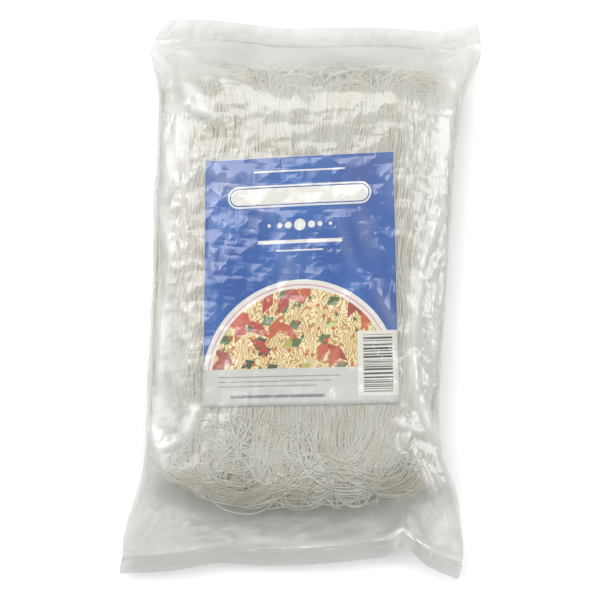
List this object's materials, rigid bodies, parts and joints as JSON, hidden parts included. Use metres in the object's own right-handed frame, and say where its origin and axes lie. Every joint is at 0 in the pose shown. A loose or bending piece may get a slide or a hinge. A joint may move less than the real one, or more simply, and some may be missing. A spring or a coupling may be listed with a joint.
{
  "type": "bag of dried rice vermicelli",
  "caption": "Sealed clear film bag packed with a slab of fine dried rice noodles, with a flat seal at each end and a rectangular printed paper label under the film.",
  "frame": {"origin": "on the table, under the middle of the pack's bounding box", "axes": "+Z is the labelled front, up from the table; +Y is the top seal; +X is the pack's right as its front is read"},
  "size_m": [0.1901, 0.2928, 0.0419],
  "materials": {
    "film": "clear glossy plastic film over pale off-white noodles",
    "noodle": "dry translucent off-white rice noodle, semi-matte",
    "paper": "coated paper printed in blue with a picture field and a pale panel"
  },
  "bodies": {
    "root": {"bag": "film", "label": "paper"}
  },
  "joints": []
}
